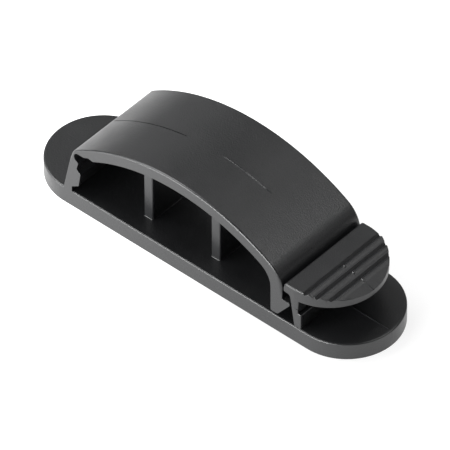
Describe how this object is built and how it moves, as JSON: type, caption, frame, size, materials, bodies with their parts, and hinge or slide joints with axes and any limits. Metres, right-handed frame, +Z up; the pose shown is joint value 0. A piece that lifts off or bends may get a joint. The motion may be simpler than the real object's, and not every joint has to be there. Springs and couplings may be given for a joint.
{
  "type": "cable clip",
  "caption": "Latching cable clip: flat round-ended base, arched strap on a living hinge, hook and latch, dividers between cable channels and a grooved thumb tab.",
  "frame": {"origin": "middle of the base's flat underside", "axes": "+X along the base towards the latch and its thumb tab, +Y across the clip in the direction the cables run, +Z up, away from the surface the clip is fixed to"},
  "size_m": [0.066, 0.0178, 0.0179],
  "materials": {
    "body": "fine spark-eroded matt"
  },
  "bodies": {
    "root": {"clip": "body"}
  },
  "joints": []
}
